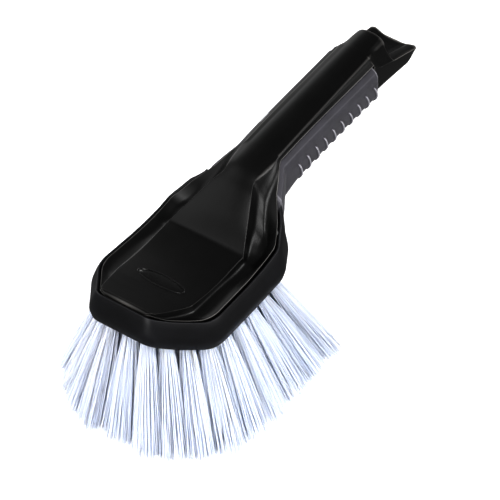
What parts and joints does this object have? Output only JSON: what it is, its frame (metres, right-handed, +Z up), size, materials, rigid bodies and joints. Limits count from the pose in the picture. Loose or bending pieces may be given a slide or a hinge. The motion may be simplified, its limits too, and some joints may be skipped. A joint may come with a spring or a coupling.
{
  "type": "wheel brush",
  "caption": "Short-handled wheel brush: fanned bristle tufts under a black head with a soft bumper, a ramp up to the handle, ribbed side grips and a flared end.",
  "frame": {"origin": "middle of the whole brush's box, on the plane that the bristle tips rest on", "axes": "+X from the nose of the head to the end of the handle, +Y to the left, +Z up from the bristle tips to the handle"},
  "size_m": [0.2834, 0.1338, 0.1376],
  "materials": {
    "black_plastic": "moulded black polypropylene, satin with a soft sheen",
    "black_bumper": "moulded black soft elastomer, satin",
    "block_plastic": "moulded black polypropylene, matte",
    "grey_grip": "moulded dark grey thermoplastic elastomer, matte",
    "badge_plastic": "moulded black plastic, blank",
    "bristle": "crimped white filament with a faint blue tint"
  },
  "bodies": {
    "root": {"handle_body": "black_plastic", "head_bumper": "black_bumper", "bristle_block": "block_plastic", "grip_right": "grey_grip", "grip_left": "grey_grip", "badge_insert": "badge_plastic", "tuft_01": "bristle", "tuft_02": "bristle", "tuft_03": "bristle", "tuft_04": "bristle", "tuft_05": "bristle", "tuft_06": "bristle", "tuft_07": "bristle", "tuft_08": "bristle", "tuft_09": "bristle", "tuft_10": "bristle", "tuft_11": "bristle", "tuft_12": "bristle", "tuft_13": "bristle", "tuft_14": "bristle", "tuft_15": "bristle", "tuft_16": "bristle", "tuft_17": "bristle", "tuft_18": "bristle", "tuft_19": "bristle", "tuft_20": "bristle", "tuft_21": "bristle", "tuft_22": "bristle", "tuft_23": "bristle", "tuft_24": "bristle", "tuft_25": "bristle", "tuft_26": "bristle", "tuft_27": "bristle", "tuft_28": "bristle", "tuft_29": "bristle", "tuft_30": "bristle", "tuft_31": "bristle", "tuft_32": "bristle", "tuft_33": "bristle", "tuft_34": "bristle", "tuft_35": "bristle", "tuft_36": "bristle", "tuft_37": "bristle", "tuft_38": "bristle", "tuft_39": "bristle", "tuft_40": "bristle", "tuft_41": "bristle", "tuft_42": "bristle", "tuft_43": "bristle", "tuft_44": "bristle"}
  },
  "joints": []
}
